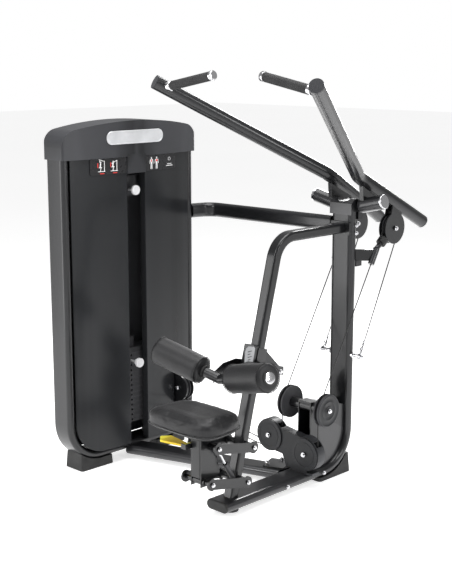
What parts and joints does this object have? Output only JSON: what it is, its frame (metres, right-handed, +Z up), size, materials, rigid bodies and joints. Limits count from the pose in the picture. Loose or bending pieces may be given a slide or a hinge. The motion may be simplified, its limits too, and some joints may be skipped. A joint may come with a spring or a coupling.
{
  "type": "lat pulldown machine",
  "caption": "Selectorised lat pulldown with two diverging lever arms, padded thigh rollers, link-adjusted seat and an enclosed weight stack tower.",
  "frame": {"origin": "bottom centre of the round front foot, on the machine's centre plane", "axes": "+X from the seat towards the rear upright, +Y towards the weight tower, +Z up"},
  "size_m": [1.5386, 1.4442, 1.8801],
  "materials": {
    "frame_paint": "gloss",
    "cover_plastic": "satin",
    "smoked_panel": "gloss",
    "pulley_nylon": "satin",
    "chrome": "polished",
    "stack_steel": "painted",
    "rubber": "matte",
    "upholstery": "grained",
    "cable": "gloss",
    "knob_plastic": "gloss",
    "label": "satin",
    "lever_yellow": "satin"
  },
  "bodies": {
    "frame": {"arm_cable_left": "cable", "arm_cable_right": "cable", "base_beam": "frame_paint", "base_cross_beam": "frame_paint", "bolts_and_caps": "chrome", "box_cables": "cable", "cable_anchors": "chrome", "feet": "rubber", "front_panel_left": "smoked_panel", "front_panel_right": "smoked_panel", "front_post": "frame_paint", "guide_rods": "chrome", "increment_pin": "knob_plastic", "increment_weight": "stack_steel", "low_pulley_housing": "frame_paint", "pad_bracket": "frame_paint", "pivot_yoke": "frame_paint", "pulley_box": "cover_plastic", "pulley_post": "frame_paint", "rear_shroud": "cover_plastic", "rear_upright": "frame_paint", "resting_plates": "stack_steel", "stack_bumpers": "rubber", "stop_bracket": "frame_paint", "stop_bumpers": "rubber", "top_crossmember": "frame_paint", "tower_cap": "cover_plastic", "tower_frame": "frame_paint", "tower_labels": "label", "upper_brace": "frame_paint"},
    "arm_left_body": {"arm_left": "frame_paint", "arm_caps_left": "cover_plastic", "grip_left": "rubber"},
    "arm_right_body": {"arm_right": "frame_paint", "arm_caps_right": "cover_plastic", "grip_right": "rubber"},
    "stack": {"stack_head": "stack_steel", "lifted_plates": "stack_steel", "stack_cable": "cable"},
    "selector": {"selector_pin": "knob_plastic"},
    "seat_lower_link": {"lower_links": "frame_paint"},
    "seat_upper_link": {"upper_links": "frame_paint"},
    "seat": {"seat_carriage": "frame_paint", "seat_cushion": "upholstery"},
    "seat_release": {"seat_lever": "lever_yellow"},
    "gas_cylinder_body": {"gas_cylinder": "stack_steel"},
    "gas_rod_body": {"gas_rod": "chrome"},
    "pads": {"pad_lever": "frame_paint"},
    "roller_left": {"pad_roller_left": "upholstery"},
    "roller_right": {"pad_roller_right": "upholstery"},
    "arm_pulley_left": {"arm_pulley_left": "pulley_nylon"},
    "arm_pulley_right": {"arm_pulley_right": "pulley_nylon"},
    "guide_pulley_left": {"guide_pulley_left": "pulley_nylon"},
    "guide_pulley_right": {"guide_pulley_right": "pulley_nylon"},
    "box_pulley_upper": {"box_pulley_upper": "pulley_nylon"},
    "box_pulley_lower": {"box_pulley_lower": "pulley_nylon"},
    "low_pulley_front": {"low_pulley_front": "pulley_nylon"},
    "low_pulley_rear": {"low_pulley_rear": "pulley_nylon"},
    "top_pulley_outer": {"top_pulley_outer": "pulley_nylon"},
    "top_pulley_inner": {"top_pulley_inner": "pulley_nylon"}
  },
  "joints": [
    {"name": "arm_left_pivot", "type": "hinge", "parent": "frame", "child": "arm_left_body", "pos_m": [0.781, 0.13154, 1.28037], "axis": [0, -0.9744, -0.225], "range_deg": [0, 55], "deforming": ["arm_cable_left"]},
    {"name": "arm_right_pivot", "type": "hinge", "parent": "frame", "child": "arm_right_body", "pos_m": [0.781, -0.13154, 1.28037], "axis": [0, -0.9744, 0.225], "range_deg": [0, 55], "deforming": ["arm_cable_right"]},
    {"name": "stack_slide", "type": "slide", "parent": "frame", "child": "stack", "axis": [0, 0, 1], "range_m": [0, 0.3881], "deforming": ["stack_cable"]},
    {"name": "arm_pulley_left_spin", "type": "hinge", "parent": "arm_left_body", "child": "arm_pulley_left", "pos_m": [0.967, 0.108, 1.15], "axis": [0, 1, 0], "range_deg": [0, 200]},
    {"name": "guide_pulley_left_spin", "type": "hinge", "parent": "frame", "child": "guide_pulley_left", "pos_m": [0.509, 0.108, 0.361], "axis": [0, 1, 0], "range_deg": [0, 409]},
    {"name": "arm_pulley_right_spin", "type": "hinge", "parent": "arm_right_body", "child": "arm_pulley_right", "pos_m": [0.967, -0.108, 1.15], "axis": [0, 1, 0], "range_deg": [0, 200]},
    {"name": "guide_pulley_right_spin", "type": "hinge", "parent": "frame", "child": "guide_pulley_right", "pos_m": [0.509, -0.108, 0.361], "axis": [0, 1, 0], "range_deg": [0, 409]},
    {"name": "box_pulley_upper_spin", "type": "hinge", "parent": "frame", "child": "box_pulley_upper", "pos_m": [0.454, 0.163, 0.203], "axis": [1, 0, 0], "range_deg": [-409, 0]},
    {"name": "box_pulley_lower_spin", "type": "hinge", "parent": "frame", "child": "box_pulley_lower", "pos_m": [0.454, -0.053, 0.159], "axis": [1, 0, 0], "range_deg": [-409, 0]},
    {"name": "low_pulley_front_spin", "type": "hinge", "parent": "frame", "child": "low_pulley_front", "pos_m": [0.454, 0.79, 0.303], "axis": [1, 0, 0], "range_deg": [-432, 0]},
    {"name": "low_pulley_rear_spin", "type": "hinge", "parent": "frame", "child": "low_pulley_rear", "pos_m": [0.454, 0.886, 0.24], "axis": [1, 0, 0], "range_deg": [-535, 0]},
    {"name": "top_pulley_outer_spin", "type": "hinge", "parent": "frame", "child": "top_pulley_outer", "pos_m": [0.404, 0.895, 1.52], "axis": [0, 1, 0], "range_deg": [0, 450]},
    {"name": "top_pulley_inner_spin", "type": "hinge", "parent": "frame", "child": "top_pulley_inner", "pos_m": [0.228, 0.895, 1.52], "axis": [0, 1, 0], "range_deg": [0, 450]},
    {"name": "selector_slide", "type": "slide", "parent": "stack", "child": "selector", "axis": [0, -1, 0], "range_m": [0, 0.1]},
    {"name": "seat_lower_link_pivot", "type": "hinge", "parent": "frame", "child": "seat_lower_link", "pos_m": [0.022, 0, 0.1425], "axis": [0, 1, 0], "range_deg": [-18, 5]},
    {"name": "seat_upper_link_pivot", "type": "hinge", "parent": "frame", "child": "seat_upper_link", "pos_m": [0.0604, 0, 0.2895], "axis": [0, 1, 0], "range_deg": [-18.2, 5.2]},
    {"name": "seat_carriage_pivot", "type": "hinge", "parent": "seat_lower_link", "child": "seat", "pos_m": [-0.192, 0, 0.1875], "axis": [0, 1, 0], "range_deg": [-5.2, 18.2]},
    {"name": "gas_cylinder_pivot", "type": "hinge", "parent": "seat_lower_link", "child": "gas_cylinder_body", "pos_m": [-0.026, -0.05, 0.15], "axis": [0, 1, 0], "range_deg": [-40, 40]},
    {"name": "gas_rod_pivot", "type": "hinge", "parent": "seat", "child": "gas_rod_body", "pos_m": [-0.118, -0.05, 0.3], "axis": [0, 1, 0], "range_deg": [-40, 40]},
    {"name": "seat_lever_pivot", "type": "hinge", "parent": "seat", "child": "seat_release", "pos_m": [-0.218, 0.044, 0.338], "axis": [1, 0, 0], "range_deg": [0, 12], "stiffness_Nm_per_rad": 1.5, "springref_deg": -22.92},
    {"name": "pad_lever_pivot", "type": "hinge", "parent": "frame", "child": "pads", "pos_m": [0.275, 0, 0.576], "axis": [0, 1, 0], "range_deg": [-5, 10]},
    {"name": "pad_roller_left_spin", "type": "hinge", "parent": "pads", "child": "roller_left", "pos_m": [-0.118, 0.328, 0.684], "axis": [-0.1589, 0.958, 0.2386], "continuous": true},
    {"name": "pad_roller_right_spin", "type": "hinge", "parent": "pads", "child": "roller_right", "pos_m": [-0.118, -0.328, 0.684], "axis": [-0.1589, -0.958, 0.2386], "continuous": true}
  ],
  "couplings": [
    {"joint": "arm_right_pivot", "follows": "arm_left_pivot", "ratio": 1},
    {"joint": "stack_slide", "follows": "arm_left_pivot", "m_per_rad": 0.39929},
    {"joint": "arm_pulley_left_spin", "follows": "arm_left_pivot", "ratio": 3.5311},
    {"joint": "guide_pulley_left_spin", "follows": "arm_left_pivot", "ratio": 7.2599},
    {"joint": "arm_pulley_right_spin", "follows": "arm_left_pivot", "ratio": 3.5311},
    {"joint": "guide_pulley_right_spin", "follows": "arm_left_pivot", "ratio": 7.2599},
    {"joint": "box_pulley_upper_spin", "follows": "arm_left_pivot", "ratio": -7.2599},
    {"joint": "box_pulley_lower_spin", "follows": "arm_left_pivot", "ratio": -7.2599},
    {"joint": "low_pulley_front_spin", "follows": "arm_left_pivot", "ratio": -7.6787},
    {"joint": "low_pulley_rear_spin", "follows": "arm_left_pivot", "ratio": -9.507},
    {"joint": "top_pulley_outer_spin", "follows": "arm_left_pivot", "ratio": 7.9858},
    {"joint": "top_pulley_inner_spin", "follows": "arm_left_pivot", "ratio": 7.9858},
    {"joint": "seat_upper_link_pivot", "follows": "seat_lower_link_pivot", "ratio": 1},
    {"joint": "seat_carriage_pivot", "follows": "seat_lower_link_pivot", "ratio": -1},
    {"joint": "gas_cylinder_pivot", "follows": "seat_lower_link_pivot", "ratio": -0.2876},
    {"joint": "gas_rod_pivot", "follows": "seat_lower_link_pivot", "ratio": 0.7124}
  ]
}
